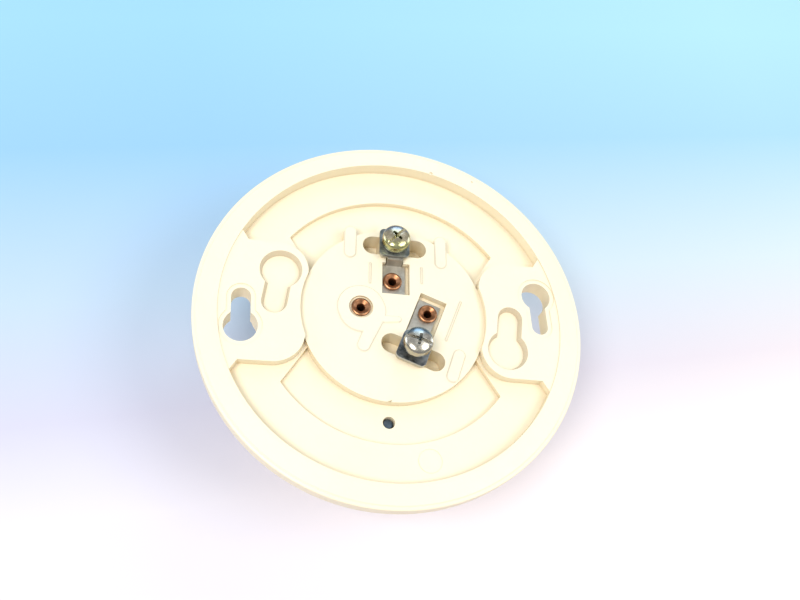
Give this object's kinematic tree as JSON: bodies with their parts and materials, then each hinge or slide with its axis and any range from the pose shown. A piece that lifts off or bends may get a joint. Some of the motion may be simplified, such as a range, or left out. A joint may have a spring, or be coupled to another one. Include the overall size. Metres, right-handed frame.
{
  "type": "heat detector",
  "caption": "Round ceiling heat detector with two screw terminals on its back, a rate-of-rise air chamber and a fusible fixed-temperature element under a domed shell.",
  "frame": {"origin": "centre of the mounting plane, the highest ring of the base's back, on the detector's axis", "axes": "+Z out of the back into the ceiling, so the dome hangs down; +X from the left through keyhole to the right one; +Y towards the terminal with the longer reach from the centre"},
  "size_m": [0.1142, 0.1142, 0.0482],
  "materials": {
    "ivory_plastic": "moulded ivory, low gloss",
    "painted_shell": "off-white enamel",
    "nickel_strip": "dull nickel plate",
    "zinc": "bright zinc plate",
    "yellow_zinc": "yellow passivated zinc plate",
    "copper": "bright copper",
    "bronze": "phosphor bronze, as rolled",
    "brass": "turned brass",
    "silver": "fine silver contact",
    "aluminium": "pressed aluminium, satin",
    "solder": "dull fusible alloy",
    "steel": "spring steel",
    "rubber": "black rubber",
    "phenolic": "brown phenolic"
  },
  "bodies": {
    "base": {"base_moulding": "ivory_plastic", "upper_terminal_strip": "nickel_strip", "lower_terminal_strip": "nickel_strip", "upper_eyelet": "copper", "lower_eyelet": "copper", "side_eyelet": "copper", "fixed_contact_bracket": "brass", "adjusting_contact_screw": "silver", "back_stop": "brass", "diaphragm": "bronze", "gasket": "rubber", "breather_plug": "steel", "front_shell": "painted_shell", "plunger_guide": "brass", "plunger_spring": "steel"},
    "upper_lock": {"upper_lock_washer": "zinc"},
    "upper_screw": {"upper_terminal_screw": "yellow_zinc"},
    "upper_clamp": {"upper_clamp_washer": "zinc"},
    "lower_lock": {"lower_lock_washer": "zinc"},
    "lower_screw": {"lower_terminal_screw": "zinc"},
    "lower_clamp": {"lower_clamp_washer": "zinc"},
    "pusher": {"diaphragm_pusher": "phenolic"},
    "contact_leaf": {"contact_spring": "bronze", "moving_contact": "silver"},
    "plunger": {"plunger": "brass"},
    "collector": {"heat_collector": "aluminium", "fusible_alloy": "solder"}
  },
  "joints": [
    {"name": "upper_screw_lift", "type": "slide", "parent": "base", "child": "upper_lock", "axis": [0, 0, 1], "range_m": [-0.00024, 0.00238]},
    {"name": "upper_screw_turn", "type": "hinge", "parent": "upper_lock", "child": "upper_screw", "pos_m": [-0.0004, 0.0219, 0], "axis": [0, 0, 1], "range_deg": [-108, 1080]},
    {"name": "upper_clamp_lift", "type": "slide", "parent": "base", "child": "upper_clamp", "axis": [0, 0, 1], "range_m": [0, 0.00025]},
    {"name": "lower_screw_lift", "type": "slide", "parent": "base", "child": "lower_lock", "axis": [0, 0, 1], "range_m": [-0.00212, 0.00079]},
    {"name": "lower_screw_turn", "type": "hinge", "parent": "lower_lock", "child": "lower_screw", "pos_m": [0.0055, -0.0118, 0], "axis": [0, 0, 1], "range_deg": [-960, 360]},
    {"name": "lower_clamp_lift", "type": "slide", "parent": "base", "child": "lower_clamp", "axis": [0, 0, 1], "range_m": [0, 0.0022]},
    {"name": "pusher_rise", "type": "slide", "parent": "base", "child": "pusher", "axis": [0, 0, 1], "range_m": [0, 0.00045]},
    {"name": "contact_leaf_flex", "type": "hinge", "parent": "base", "child": "contact_leaf", "pos_m": [-0.0004, 0.0106, -0.0089], "axis": [-1, 0, 0], "range_deg": [0, 2.5]},
    {"name": "plunger_release", "type": "slide", "parent": "base", "child": "plunger", "axis": [0, 0, 1], "range_m": [0, 0.0019], "deforming": ["plunger_spring"]},
    {"name": "collector_drop", "type": "slide", "parent": "base", "child": "collector", "axis": [0, 0, -1], "range_m": [0, 0.008]}
  ],
  "couplings": [
    {"joint": "upper_screw_turn", "follows": "upper_screw_lift", "rad_per_m": 7915.8},
    {"joint": "lower_screw_turn", "follows": "lower_screw_lift", "rad_per_m": 7915.8},
    {"joint": "contact_leaf_flex", "follows": "pusher_rise", "rad_per_m": 94.34}
  ]
}
